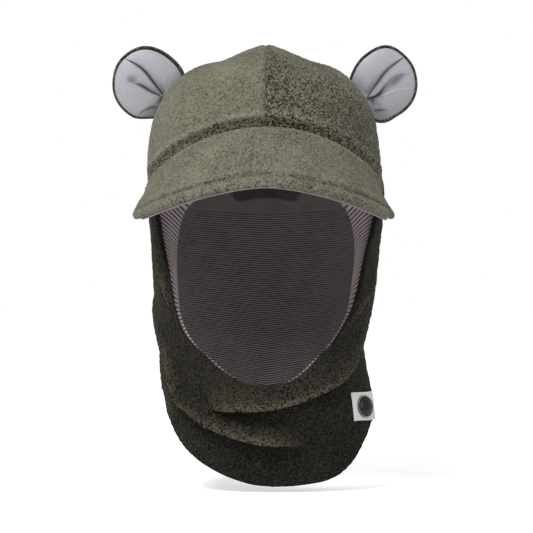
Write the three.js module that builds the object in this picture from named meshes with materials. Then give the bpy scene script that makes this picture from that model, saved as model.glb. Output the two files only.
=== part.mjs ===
// A child's fleece balaclava with a soft peak and two round ears, worn shape, in millimetres.
//
// Frame: +Z up, the face looks along -Y, +X is the wearer's left. The origin is where the top of the head
// bears on the lining. Angles round the head are measured from the front: 0 is the face, +90 is +X.
//
// Every cloth layer follows one body surface. A layer is given by its depth under the outer fleece face, so
// the fleece and the lining nest with air between them, and a negative depth lies outside.

import * as THREE from "three";

const RAD = Math.PI / 180;

// ---------------------------------------------------------------- driving dimensions

const CROWN_TOP = 3.5; // height of the crown's fleece above the top of the head, beside the centre ridge
const CROWN_RIDGE = 4.5; // how far the centre seam stands up out of the crown
const CROWN_RIDGE_WIDTH = 32; // how far to each side the ridge fades out
const CROWN_SQUARENESS = 2.5; // 2 is a plain ellipsoid, more is a boxier dome

const FLEECE = 2.6; // thickness of the fleece
const RIB_KNIT = 1.0; // thickness of the rib-knit lining
const LINING_DEPTH = 4.0; // outer face of the lining
const SEAM_GAP = 0.25; // each panel stops this short of its seam line

const TEMPLE_ANGLE = 71; // where the face edge meets the crown seam
const SIDE_SEAM_TOP = 95; // where the side seam meets the crown seam
const SIDE_SEAM_HEM = 90; // where the side seam meets the hem
const TEMPLE_SHARE = 0.8; // share of the front panel's top edge that runs along the face

const CUFF = { thickness: 1.2, tuck: 3.5, liningInset: 7.5, back: 3 };
const FACE_ELASTIC = { gap: 0.8, from: 0.6, to: 0.95, thickness: 0.6 };
const LINING_LENGTH = 0.89; // the lining's length below the crown seam, as a share of the hood's

const BRIM = {
  endAngle: 78, // the root runs along the crown seam to this angle on both sides
  gapFront: 6, // air between the root and the forehead, room for the peak to tilt
  gapSide: 3,
  halfSpan: 92,
  centreY: -34, // the outer edge is half an ellipse about this point
  reach: 95,
  edgeHeight: -98, // of the outer edge at the centre
  edgeDroop: 22, // further down at the tips
  arch: 5, // crown of the sheet between its root and its edge
  tipShare: 0.82, // the sheet's length at its two ends, as a share of the full one
  stiffener: 1.6,
  layerGap: 0.6,
  inset: 0.15, // the stiffener and the under side start this share further out
  stiffenerMargin: 0.06, // and the stiffener stops this share short of the edge
};

const EAR = {
  radius: 26,
  chord: 17, // from the ear's centre to its root line
  tilt: 39, // the ear points this far above the horizontal
  rootAngle: 96, // where it stands on the crown
  rootRadius: 0.615, // 0 is the crown's top and 1 its lower seam
  lift: 1.5, // the root line's height over the crown
  rootGap: 3, // the plates start this far out, so that the ear can fold over
  face: 1.0,
  wadding: 3.0,
  waddingInset: 1.6,
  layerGap: 0.3,
};

const SIDE_LABEL = { angleFrom: 51, angleTo: 72, low: -258, high: -239, thickness: 0.8, gap: 0.3 };
const BADGE = { angle: 61.5, height: -248.5, radius: 7.7, thickness: 1.5 };
const CARE_LABEL = { width: 20, length: 28, thickness: 0.6, top: -213, gap: 1.6 };

// ---------------------------------------------------------------- helpers

// A smooth function through [at, value] pairs, flat beyond its ends.
function smoothThrough(pairs) {
  const slope = pairs.map((pair, i) => {
    const before = pairs[Math.max(i - 1, 0)];
    const after = pairs[Math.min(i + 1, pairs.length - 1)];
    return (after[1] - before[1]) / (after[0] - before[0]);
  });
  return (at) => {
    if (at <= pairs[0][0]) return pairs[0][1];
    const i = pairs.findIndex((pair) => pair[0] >= at);
    if (i < 0) return pairs[pairs.length - 1][1];
    const [x0, y0] = pairs[i - 1];
    const [x1, y1] = pairs[i];
    const width = x1 - x0;
    const t = (at - x0) / width;
    const rise = t * t * (3 - 2 * t);
    const start = t * (1 - t) * (1 - t) * width * slope[i - 1];
    const end = t * t * (t - 1) * width * slope[i];
    return y0 + (y1 - y0) * rise + start + end;
  };
}

function mix(a, b, share) {
  return a + (b - a) * share;
}

// A closed solid from a grid: at(u, v, face) gives the point, face 0 is one skin and 1 the other.
// With ring true the grid closes on itself along u.
function gridSolid(columns, rows, at, ring = false) {
  const across = ring ? columns : columns + 1;
  const points = [];
  for (let face = 0; face < 2; face++)
    for (let i = 0; i < across; i++)
      for (let j = 0; j <= rows; j++) points.push(at(i / columns, j / rows, face));
  const index = (i, j, face) => face * across * (rows + 1) + (i % across) * (rows + 1) + j;
  const triangles = [];
  const quad = (a, b, c, d) => triangles.push(a, b, c, a, c, d);
  for (let i = 0; i < columns; i++) {
    for (let j = 0; j < rows; j++) {
      quad(index(i, j, 0), index(i + 1, j, 0), index(i + 1, j + 1, 0), index(i, j + 1, 0));
      quad(index(i, j, 1), index(i, j + 1, 1), index(i + 1, j + 1, 1), index(i + 1, j, 1));
    }
    quad(index(i, 0, 0), index(i, 0, 1), index(i + 1, 0, 1), index(i + 1, 0, 0));
    quad(index(i, rows, 0), index(i + 1, rows, 0), index(i + 1, rows, 1), index(i, rows, 1));
  }
  if (!ring) {
    for (let j = 0; j < rows; j++) {
      quad(index(0, j, 0), index(0, j + 1, 0), index(0, j + 1, 1), index(0, j, 1));
      quad(index(columns, j, 0), index(columns, j, 1), index(columns, j + 1, 1), index(columns, j + 1, 0));
    }
  }
  return facingOut(points, triangles);
}

// The geometry of a closed surface, with its triangles turned round if they face inwards.
function facingOut(points, triangles) {
  let volume = 0;
  const normal = new THREE.Vector3();
  for (let i = 0; i < triangles.length; i += 3) {
    const [a, b, c] = [points[triangles[i]], points[triangles[i + 1]], points[triangles[i + 2]]];
    volume += a.dot(normal.crossVectors(b, c));
  }
  const geometry = new THREE.BufferGeometry().setFromPoints(points);
  geometry.setIndex(volume < 0 ? triangles.slice().reverse() : triangles);
  geometry.computeVertexNormals();
  return geometry;
}

// ---------------------------------------------------------------- the body surface

const DEGREES_PER_MM = 1 / (80 * RAD); // of angle round the head, on its mean radius

const halfWidth = smoothThrough([
  [-303, 72], [-265, 74], [-240, 74.3], [-210, 73.6], [-190, 76.5], [-160, 80], [-134, 82.3], [-95, 85.3],
  [-50, 85.3],
]);
const frontY = smoothThrough([
  [-303, -79], [-270, -85], [-235, -90], [-180, -94], [-96, -97], [-50, -97],
]);
const sideY = smoothThrough([[-303, -39], [-250, -35], [-205, -14], [-160, 0], [-50, 0]]);
const backY = smoothThrough([
  [-303, 66], [-250, 66], [-210, 72], [-175, 84], [-135, 95], [-95, 99], [-50, 96],
]);
// The neck hangs a little to one side, as soft cloth does.
const centreX = smoothThrough([
  [-303, 5], [-262, 3], [-241, 1], [-230, -0.5], [-203, -2.5], [-177, -1.5], [-134, 0], [-90, 0],
]);

// The height of the seam between the crown and the hood, round the head.
const seamHeight = smoothThrough([
  [0, -57], [12, -58.4], [25.5, -63], [37, -69], [50, -77], [74, -90.5], [95, -100], [125, -107],
  [180, -111],
]);
const hemHeight = smoothThrough([
  [0, -301], [13.5, -299.5], [31, -293], [50.5, -279], [64, -266.5], [73.5, -259], [90, -253], [125, -257],
  [180, -270],
]);
const faceEdgeHeight = smoothThrough([
  [0, -231], [12, -228.5], [24, -220], [34, -210], [42, -202.5], [48.5, -193], [54.5, -179], [58, -163],
  [61.5, -145], [65, -131], [68, -116], [TEMPLE_ANGLE, -89],
]);

function bodyPoint(angle, height, depth) {
  const side = sideY(height);
  const ahead = Math.cos(angle * RAD);
  const end = ahead > 0 ? frontY(height) + depth : backY(height) - depth;
  const x = centreX(height) + (halfWidth(height) - depth) * Math.sin(angle * RAD);
  return new THREE.Vector3(x, side + (end - side) * Math.abs(ahead), height);
}

// p and q are a place in the unit disc: its rim is the crown's lower seam, and q points to the face.
function crownPoint(p, q, depth) {
  const radius = Math.min(1, Math.hypot(p, q));
  const angle = radius > 0 ? Math.atan2(p, q) / RAD : 0;
  const seam = seamHeight(Math.abs(angle));
  const out = Math.sin((radius * Math.PI) / 2);
  const up = Math.pow(Math.max(0, 1 - Math.pow(out, CROWN_SQUARENESS)), 1 / CROWN_SQUARENESS);
  const rim = bodyPoint(angle, seam, depth);
  const x = rim.x * out;
  const ridge = CROWN_RIDGE * Math.max(0, 1 - Math.abs(x) / CROWN_RIDGE_WIDTH) * up;
  return new THREE.Vector3(x, rim.y * out, mix(seam, CROWN_TOP - depth, up) + ridge);
}

// One half of the crown: u runs from the centre seam to the side, v from the front to the back.
function crownHalfPoint(sign, u, v, depth) {
  const b = 2 * v - 1;
  const p = u * Math.sqrt(1 - (b * b) / 2);
  const q = -b * Math.sqrt(1 - (u * u) / 2);
  const point = crownPoint(p, q, depth);
  point.x = sign * Math.max(SEAM_GAP, point.x);
  if (point.z < -40) point.z += SEAM_GAP;
  return point;
}

// The front panel's top edge, moved in from the face by the inset: share 0 is the chin, and from the temple
// on the edge follows the crown seam.
function frontTop(share, inset) {
  if (share >= TEMPLE_SHARE) {
    const past = (share - TEMPLE_SHARE) / (1 - TEMPLE_SHARE);
    const angle = mix(TEMPLE_ANGLE + inset * DEGREES_PER_MM, SIDE_SEAM_TOP, past);
    return { angle, height: seamHeight(angle) - SEAM_GAP };
  }
  const along = share / TEMPLE_SHARE;
  const angle = TEMPLE_ANGLE * mix(Math.sin((along * Math.PI) / 2), 1 - (1 - along) ** 2, 0.5);
  const slope = (faceEdgeHeight(angle) - faceEdgeHeight(angle - 1)) * DEGREES_PER_MM;
  const outward = inset / Math.hypot(slope, 1);
  return { angle: angle + outward * slope * DEGREES_PER_MM, height: faceEdgeHeight(angle) - outward };
}

// The front panel: u runs from one side seam over the chin to the other, v from the top edge to the hem.
function frontPoint(u, v, depth, inset = 0) {
  const across = 2 * u - 1;
  const share = Math.abs(across);
  const top = frontTop(share, inset);
  const hemAngle = SIDE_SEAM_HEM * share;
  const seam = share === 1 ? SEAM_GAP * DEGREES_PER_MM : 0;
  const angle = mix(top.angle, hemAngle, v) - seam;
  return bodyPoint(Math.sign(across) * angle, mix(top.height, hemHeight(hemAngle), v), depth);
}

// The back panel: u runs from one side seam round the back to the other.
function backPoint(u, v, depth) {
  const topAngle = mix(SIDE_SEAM_TOP, 360 - SIDE_SEAM_TOP, u);
  const hemAngle = mix(SIDE_SEAM_HEM, 360 - SIDE_SEAM_HEM, u);
  const seam = (u === 0 ? SEAM_GAP : u === 1 ? -SEAM_GAP : 0) * DEGREES_PER_MM;
  const topHeight = seamHeight(Math.min(topAngle, 360 - topAngle)) - SEAM_GAP;
  const hem = hemHeight(Math.min(hemAngle, 360 - hemAngle));
  return bodyPoint(mix(topAngle, hemAngle, v) + seam, mix(topHeight, hem, v), depth);
}

// ---------------------------------------------------------------- the face cuff

// The inner edge of the cuff as seen from the front: a long oval, given from the chin up one side.
const faceHalf = [
  [0, -229], [17.5, -225.5], [33, -215], [46, -204.5], [56.5, -188], [61.5, -164], [63, -140],
  [60, -117], [52, -104], [29, -91], [0, -87],
];
const faceOther = faceHalf.slice(1, -1).reverse().map(([x, z]) => [-x, z]);
const faceLoop = new THREE.CatmullRomCurve3(
  [...faceHalf, ...faceOther].map(([x, z]) => new THREE.Vector3(x, 0, z)),
  true,
);

// The cuff's outer edge, from the chin up to the temple and over the forehead.
function cuffRoot(share) {
  if (share <= TEMPLE_SHARE) {
    const top = frontTop(share * 0.9999, CUFF.tuck);
    return bodyPoint(top.angle, Math.min(top.height, seamHeight(top.angle) - CUFF.tuck), LINING_DEPTH);
  }
  const past = (share - TEMPLE_SHARE) / (1 - TEMPLE_SHARE);
  const angle = (TEMPLE_ANGLE + CUFF.tuck * DEGREES_PER_MM) * (1 - past);
  return bodyPoint(angle, seamHeight(angle) - CUFF.tuck, LINING_DEPTH);
}

// u goes once round the opening from the chin, w from the root to the inner edge, depth away from the front.
function cuffPoint(u, w, depth) {
  const place = (uu, ww) => {
    const turn = uu - Math.floor(uu);
    const share = 1 - Math.abs(2 * turn - 1);
    const root = cuffRoot(share);
    if (turn > 0.5) root.x = 2 * centreX(root.z) - root.x;
    const inner = faceLoop.getPoint(turn);
    inner.x += centreX(inner.z);
    inner.y = root.y + CUFF.back;
    return root.lerp(inner, ww);
  };
  const step = 1e-3;
  const alongU = place(u + step, w).sub(place(u - step, w));
  const alongW = place(u, w + step).sub(place(u, w - step));
  const inwards = alongU.cross(alongW).normalize();
  if (inwards.y < 0) inwards.negate();
  return place(u, w).addScaledVector(inwards, depth);
}

function faceCuff() {
  return gridSolid(72, 2, (u, v, face) => cuffPoint(u, v, face * CUFF.thickness), true);
}

// The elastic lies behind the cuff's inner half, where the knit is turned over it.
function faceElastic() {
  const { gap, from, to, thickness } = FACE_ELASTIC;
  const depth = CUFF.thickness + gap;
  return gridSolid(72, 1, (u, v, face) => cuffPoint(u, mix(from, to, v), depth + face * thickness), true);
}

// ---------------------------------------------------------------- the peak

// t runs from -1 to 1 across the peak, w from the root to the outer edge, lift along the sheet's normal.
function brimSheet(t, w) {
  const angle = BRIM.endAngle * t;
  const gap = mix(BRIM.gapFront, BRIM.gapSide, t * t);
  const root = bodyPoint(angle, seamHeight(Math.abs(angle)), -gap);
  const sweep = (Math.PI / 2) * t;
  const x = BRIM.halfSpan * Math.sin(sweep);
  const droop = BRIM.edgeDroop * Math.pow(Math.abs(Math.sin(sweep)), 1.6);
  const edge = new THREE.Vector3(x, BRIM.centreY - BRIM.reach * Math.cos(sweep), BRIM.edgeHeight - droop);
  const length = mix(1, BRIM.tipShare, Math.pow(Math.abs(t), 8));
  const point = root.lerp(edge, w * length);
  point.z += BRIM.arch * 4 * w * (1 - w) * Math.cos(sweep);
  return point;
}

function brimPoint(t, w, lift) {
  const step = 1e-3;
  const across = brimSheet(t + step, w).sub(brimSheet(t - step, w));
  const outwards = brimSheet(t, w + step).sub(brimSheet(t, w - step));
  const up = outwards.cross(across).normalize();
  if (up.z < 0) up.negate();
  return brimSheet(t, w).addScaledVector(up, lift);
}

// One layer of the peak, between two heights over the sheet and inside a margin of its outline.
function brimLayer(low, high, rootInset, edgeInset) {
  const from = rootInset;
  const to = 1 - edgeInset;
  const at = (u, v, face) => brimPoint((2 * u - 1) * to, mix(from, to, v), face ? high : low);
  return gridSolid(24, 4, at);
}

// ---------------------------------------------------------------- ears, labels

// A round plate cut straight at its root. Its local Y points away from the head and Z is its thickness.
function earPlate(inset, low, high) {
  const radius = EAR.radius - inset;
  const base = EAR.rootGap + inset;
  const halfBase = Math.sqrt(radius * radius - (EAR.chord - base) ** 2);
  const startAngle = Math.atan2(base - EAR.chord, halfBase);
  const outline = new THREE.Shape();
  outline.moveTo(-halfBase, base);
  outline.lineTo(halfBase, base);
  outline.absarc(0, EAR.chord, radius, startAngle, Math.PI - startAngle, false);
  const depth = high - low;
  const plate = new THREE.ExtrudeGeometry(outline, { depth, bevelEnabled: false, curveSegments: 24 });
  return plate.translate(0, 0, low);
}

function earGroup(side, sign) {
  const direction = new THREE.Vector3(sign * Math.cos(EAR.tilt * RAD), 0, Math.sin(EAR.tilt * RAD));
  const angle = EAR.rootAngle * RAD;
  const root = crownPoint(EAR.rootRadius * Math.sin(angle), EAR.rootRadius * Math.cos(angle), 0);
  const group = new THREE.Group();
  group.position.set(sign * root.x, root.y, root.z).addScaledVector(direction, EAR.lift);
  const toFront = new THREE.Vector3(0, -1, 0);
  const along = new THREE.Vector3().crossVectors(direction, toFront);
  group.quaternion.setFromRotationMatrix(new THREE.Matrix4().makeBasis(along, direction, toFront));
  const half = (EAR.face + EAR.wadding + FLEECE) / 2 + EAR.layerGap;
  const waddingTop = half - EAR.face - EAR.layerGap;
  const wadding = earPlate(EAR.waddingInset, waddingTop - EAR.wadding, waddingTop);
  group.add(piece(`ear_${side}_front`, earPlate(0, half - EAR.face, half), "earSatin"));
  group.add(piece(`ear_${side}_wadding`, wadding, "wadding"));
  group.add(piece(`ear_${side}_back`, earPlate(0, -half, -half + FLEECE), "fleece"));
  return group;
}

// The woven label follows the cloth beside the side seam.
function sideLabel() {
  const { angleFrom, angleTo, low, high, thickness, gap } = SIDE_LABEL;
  return gridSolid(8, 4, (u, v, face) =>
    bodyPoint(mix(angleFrom, angleTo, u), mix(low, high, v), -gap - (face ? thickness : 0)),
  );
}

// A round flat-domed badge on the label, its skins made as rings round its centre.
function badge() {
  const under = SIDE_LABEL.gap * 2 + SIDE_LABEL.thickness;
  const degreesPerMm = 1 / RAD / Math.hypot(
    halfWidth(BADGE.height) * Math.cos(BADGE.angle * RAD),
    (frontY(BADGE.height) - sideY(BADGE.height)) * Math.sin(BADGE.angle * RAD),
  );
  const at = (radius, turn, outside) =>
    bodyPoint(
      BADGE.angle + radius * Math.cos(turn) * degreesPerMm,
      BADGE.height + radius * Math.sin(turn),
      -under - outside,
    );
  const sides = 28;
  const rings = [
    [0.02, 0], [BADGE.radius, 0], [BADGE.radius, BADGE.thickness * 0.5],
    [BADGE.radius * 0.75, BADGE.thickness * 0.9], [0.02, BADGE.thickness],
  ];
  const points = rings.flatMap(([radius, outside]) =>
    Array.from({ length: sides }, (_, k) => at(radius, (2 * Math.PI * k) / sides, outside)),
  );
  const triangles = [];
  for (let ring = 0; ring < rings.length - 1; ring++)
    for (let k = 0; k < sides; k++) {
      const next = (k + 1) % sides;
      const [a, b] = [ring * sides + k, ring * sides + next];
      triangles.push(a, b, b + sides, a, b + sides, a + sides);
    }
  const top = (rings.length - 1) * sides;
  for (let k = 1; k < sides - 1; k++) {
    triangles.push(0, k + 1, k);
    triangles.push(top, top + k, top + k + 1);
  }
  return facingOut(points, triangles);
}

// The care label hangs by its top edge inside the side seam.
function careLabel() {
  const { width, length, thickness, top, gap } = CARE_LABEL;
  const wall = bodyPoint(SIDE_SEAM_HEM, top, LINING_DEPTH + RIB_KNIT);
  const label = piece("care_label", new THREE.BoxGeometry(thickness, width, length), "label");
  label.position.set(wall.x - gap, wall.y, top - length / 2);
  return label;
}

// ---------------------------------------------------------------- materials and assembly

const finishes = {
  fleece: [0x67634f, 1.0],
  darkFleece: [0x3a362b, 1.0],
  rib: [0x8f8085, 0.95],
  brimLining: [0x7f7579, 0.9],
  earSatin: [0xa2a4ab, 0.6],
  wadding: [0xe6e4df, 1.0],
  stiffener: [0xd8d8d4, 0.6],
  elastic: [0xd9d2d2, 0.7],
  label: [0xdcdcda, 0.8],
  badge: [0x101318, 0.25],
};

const materials = Object.fromEntries(
  Object.entries(finishes).map(([name, [color, roughness]]) => [
    name,
    new THREE.MeshStandardMaterial({ color, roughness, metalness: 0 }),
  ]),
);

function piece(name, geometry, finish) {
  const mesh = new THREE.Mesh(geometry, materials[finish]);
  mesh.name = name;
  return mesh;
}

// A cloth panel between two depths of the body: at(u, v, depth) is the panel's surface.
function panel(name, columns, rows, at, depth, thickness, finish) {
  const solid = gridSolid(columns, rows, (u, v, face) => at(u, v, depth + (face ? thickness : 0)));
  return piece(name, solid, finish);
}

function fleecePanel(name, columns, rows, at, finish) {
  return panel(name, columns, rows, at, 0, FLEECE, finish);
}

function liningPanel(name, columns, rows, at) {
  return panel(name, columns, rows, at, LINING_DEPTH, RIB_KNIT, "rib");
}

function brimPieces() {
  const stiffenerTop = -BRIM.layerGap;
  const stiffenerLow = stiffenerTop - BRIM.stiffener;
  const underTop = stiffenerLow - BRIM.layerGap;
  return [
    piece("brim_upper", brimLayer(0, FLEECE, 0, 0), "fleece"),
    piece(
      "brim_stiffener",
      brimLayer(stiffenerLow, stiffenerTop, BRIM.inset, BRIM.stiffenerMargin),
      "stiffener",
    ),
    piece("brim_lower", brimLayer(underTop - RIB_KNIT, underTop, BRIM.inset, 0), "brimLining"),
  ];
}

const balaclava = new THREE.Group();

for (const [side, sign] of [["left", 1], ["right", -1]]) {
  const half = (u, v, depth) => crownHalfPoint(sign, u, v, depth);
  balaclava.add(fleecePanel(`crown_${side}`, 10, 18, half, "fleece"));
  balaclava.add(liningPanel(`lining_crown_${side}`, 8, 14, half));
  balaclava.add(earGroup(side, sign));
}

balaclava.add(fleecePanel("hood_front", 40, 8, frontPoint, "darkFleece"));
balaclava.add(fleecePanel("hood_back", 20, 8, backPoint, "darkFleece"));
const liningFront = (u, v, depth) => frontPoint(u, v * LINING_LENGTH, depth, CUFF.liningInset);
const liningBack = (u, v, depth) => backPoint(u, v * LINING_LENGTH, depth);
balaclava.add(liningPanel("lining_front", 30, 6, liningFront));
balaclava.add(liningPanel("lining_back", 20, 6, liningBack));

balaclava.add(piece("face_cuff", faceCuff(), "rib"));
balaclava.add(piece("face_elastic", faceElastic(), "elastic"));
balaclava.add(...brimPieces());
balaclava.add(piece("side_label", sideLabel(), "label"));
balaclava.add(piece("label_badge", badge(), "badge"));
balaclava.add(careLabel());

export default balaclava;
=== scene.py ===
"""The balaclava's looks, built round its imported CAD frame. Shapes are worked out in millimetres.

Angles round the head are measured from the face: 0 is the front, +90 the wearer's left, which is +X.
The cloth follows the same body surface as the CAD. A depth is measured inwards from the outer fleece face.
"""

import math

import bpy
import numpy as np
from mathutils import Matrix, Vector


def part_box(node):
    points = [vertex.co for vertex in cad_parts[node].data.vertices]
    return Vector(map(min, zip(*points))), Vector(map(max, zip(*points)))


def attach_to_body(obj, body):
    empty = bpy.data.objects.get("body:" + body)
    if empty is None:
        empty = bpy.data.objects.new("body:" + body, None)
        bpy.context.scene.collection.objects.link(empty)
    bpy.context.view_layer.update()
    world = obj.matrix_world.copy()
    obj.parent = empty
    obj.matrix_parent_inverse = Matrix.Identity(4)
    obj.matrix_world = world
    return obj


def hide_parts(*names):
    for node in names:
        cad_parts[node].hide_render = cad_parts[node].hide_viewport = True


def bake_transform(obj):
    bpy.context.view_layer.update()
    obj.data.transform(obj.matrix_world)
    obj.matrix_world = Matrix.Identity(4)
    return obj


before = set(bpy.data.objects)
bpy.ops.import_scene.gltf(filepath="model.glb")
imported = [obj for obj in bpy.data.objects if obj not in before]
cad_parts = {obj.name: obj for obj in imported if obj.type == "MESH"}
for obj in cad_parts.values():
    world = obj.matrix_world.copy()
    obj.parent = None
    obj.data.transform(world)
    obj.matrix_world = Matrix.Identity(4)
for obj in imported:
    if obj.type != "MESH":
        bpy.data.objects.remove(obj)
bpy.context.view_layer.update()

# ---------------------------------------------------------------- dimensions shared with the CAD

CROWN_TOP = 3.5
CROWN_RIDGE = 4.5
CROWN_RIDGE_WIDTH = 32
CROWN_SQUARENESS = 2.5
FLEECE = 2.6
RIB_KNIT = 1.0
LINING_DEPTH = 4.0
LINING_LENGTH = 0.89
LINING_INSET = 7.5
TEMPLE_ANGLE = 71
SIDE_SEAM_TOP = 95
SIDE_SEAM_HEM = 90
TEMPLE_SHARE = 0.8
CUFF_TUCK = 3.5
CUFF_BACK = 3
BRIM_END_ANGLE = 78
BRIM_GAP_FRONT = 6
BRIM_GAP_SIDE = 3
BRIM_HALF_SPAN = 92
BRIM_CENTRE_Y = -34
BRIM_REACH = 95
BRIM_EDGE_HEIGHT = -98
BRIM_DROOP = 22
BRIM_ARCH = 5
BRIM_TIP_SHARE = 0.82
EAR_RADIUS = 26
EAR_CHORD = 17
EAR_TILT = 39
EAR_ROOT = (70.78, 9.333, -28.417)
BODY_RADIUS = 80  # about right all round, for turning a short way over the cloth into an angle
DEGREES_PER_MM = 1 / (BODY_RADIUS * math.pi / 180)
MM_PER_DEGREE = 1.31  # round the neck, where the folds are


def smooth_through(pairs):
    """A smooth function through (at, value) pairs, flat beyond its ends."""
    at = np.array([pair[0] for pair in pairs], float)
    value = np.array([pair[1] for pair in pairs], float)
    last = len(pairs) - 1
    before = np.maximum(np.arange(last + 1) - 1, 0)
    after = np.minimum(np.arange(last + 1) + 1, last)
    slope = (value[after] - value[before]) / (at[after] - at[before])

    def function(x):
        x = np.clip(x, at[0], at[-1])
        i = np.clip(np.searchsorted(at, x), 1, last)
        width = at[i] - at[i - 1]
        t = (x - at[i - 1]) / width
        rise = t * t * (3 - 2 * t)
        start = t * (1 - t) ** 2 * width * slope[i - 1]
        end = t * t * (t - 1) * width * slope[i]
        return value[i - 1] + (value[i] - value[i - 1]) * rise + start + end

    return function


half_width = smooth_through([
    (-303, 72), (-265, 74), (-240, 74.3), (-210, 73.6), (-190, 76.5), (-160, 80), (-134, 82.3),
    (-95, 85.3), (-50, 85.3),
])
front_y = smooth_through([
    (-303, -79), (-270, -85), (-235, -90), (-180, -94), (-96, -97), (-50, -97),
])
side_y = smooth_through([(-303, -39), (-250, -35), (-205, -14), (-160, 0), (-50, 0)])
back_y = smooth_through([
    (-303, 66), (-250, 66), (-210, 72), (-175, 84), (-135, 95), (-95, 99), (-50, 96),
])
centre_x = smooth_through([
    (-303, 5), (-262, 3), (-241, 1), (-230, -0.5), (-203, -2.5), (-177, -1.5), (-134, 0), (-90, 0),
])
seam_height = smooth_through([
    (0, -57), (12, -58.4), (25.5, -63), (37, -69), (50, -77), (74, -90.5), (95, -100), (125, -107),
    (180, -111),
])
hem_height = smooth_through([
    (0, -301), (13.5, -299.5), (31, -293), (50.5, -279), (64, -266.5), (73.5, -259), (90, -253),
    (125, -257), (180, -270),
])
face_edge_height = smooth_through([
    (0, -231), (12, -228.5), (24, -220), (34, -210), (42, -202.5), (48.5, -193), (54.5, -179),
    (58, -163), (61.5, -145), (65, -131), (68, -116), (TEMPLE_ANGLE, -89),
])
face_half = [
    (0, -229), (17.5, -225.5), (33, -215), (46, -204.5), (56.5, -188), (61.5, -164), (63, -140),
    (60, -117), (52, -104), (29, -91), (0, -87),
]

# ---------------------------------------------------------------- small maths


def mix(a, b, share):
    """a at share 0, b at share 1 and straight between."""
    return a + (b - a) * share


def ease(low, high, x):
    """0 below low, 1 above high and smooth between."""
    t = np.clip((x - low) / (high - low), 0, 1)
    return t * t * (3 - 2 * t)


def hump(x, centre, width):
    """1 at the centre, and down to a third at that width from it."""
    return np.exp(-(((x - centre) / width) ** 2))


def cell_value(cell, seed):
    """A fixed value from -1 to 1 for each whole-number cell."""
    mixed = cell[..., 0] * 73856093 ^ cell[..., 1] * 19349663 ^ cell[..., 2] * 83492791
    mixed = (mixed ^ (seed * 2654435761)) & 0xFFFFFFFF
    mixed = ((mixed ^ (mixed >> 13)) * 1274126177) & 0xFFFFFFFF
    mixed = (mixed ^ (mixed >> 16)) & 0xFFFFFFFF
    return mixed / 0x7FFFFFFF - 1


def noise(points, size, seed):
    """Smooth noise from -1 to 1 whose lumps are about size millimetres apart."""
    at = points / size + 1000
    cell = np.floor(at).astype(np.int64)
    part = at - cell
    part = part * part * (3 - 2 * part)
    total = 0
    for corner in range(8):
        step = np.array([corner & 1, corner >> 1 & 1, corner >> 2])
        weight = np.prod(np.where(step == 1, part, 1 - part), axis=-1)
        total = total + weight * cell_value(cell + step, seed)
    return total


def smooth_line(points, count):
    """The two coordinates of that many places on a line that runs smoothly through points."""
    knots = range(len(points))
    fine = np.linspace(0, len(points) - 1, count)
    return [smooth_through(list(zip(knots, values)))(fine) for values in zip(*points)]


def beside_line(x, y, line_x, line_y):
    """Distance from a line, positive on its left, the share along it, and the way across it to the left."""
    nearest = np.full(x.shape, np.inf)
    signed, share = np.zeros(x.shape), np.zeros(x.shape)
    way = np.zeros(x.shape + (2,))
    last = len(line_x) - 1
    for k in range(last):
        dx, dy = line_x[k + 1] - line_x[k], line_y[k + 1] - line_y[k]
        length = math.hypot(dx, dy)
        t = np.clip(((x - line_x[k]) * dx + (y - line_y[k]) * dy) / length**2, 0, 1)
        gap_x, gap_y = x - line_x[k] - t * dx, y - line_y[k] - t * dy
        gap = np.hypot(gap_x, gap_y)
        closer = gap < nearest
        nearest = np.where(closer, gap, nearest)
        signed = np.where(closer, gap * np.sign(dx * gap_y - dy * gap_x), signed)
        share = np.where(closer, (k + t) / last, share)
        way[closer] = (-dy / length, dx / length)
    return signed, share, way


def surface_normals(points, loop_rows, loop_columns):
    """Unit normals of a grid of points, which may close on itself either way."""

    def slope(axis, loop):
        if loop:
            return np.roll(points, -1, axis) - np.roll(points, 1, axis)
        return np.gradient(points, axis=axis)

    normal = np.cross(slope(0, loop_rows), slope(1, loop_columns))
    length = np.linalg.norm(normal, axis=-1, keepdims=True)
    return normal / np.maximum(length, 1e-9)


def outward(points, normal, away_from):
    """The normals turned so that they point away from a point, or from an array of points."""
    side = np.sum(normal * (points - away_from), axis=-1, keepdims=True)
    return np.where(side < 0, -normal, normal)


def body_normals(points, split):
    """Outward normals of a sheet's grid, worked out for each of its two skins by itself."""
    skins = (points[:split], points[split:])
    normal = np.concatenate([surface_normals(skin, False, False) for skin in skins])
    return outward(points, normal, np.array([0, 0, -150.0]))


# ---------------------------------------------------------------- meshes


def volume_of(points, faces):
    """Six times the volume inside closed faces, and negative where they look inwards."""
    total = 0.0
    for part in faces:
        for k in range(1, part.shape[1] - 1):
            a, b, c = points[part[:, 0]], points[part[:, k]], points[part[:, k + 1]]
            total += np.sum(a * np.cross(b, c))
    return total


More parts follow.
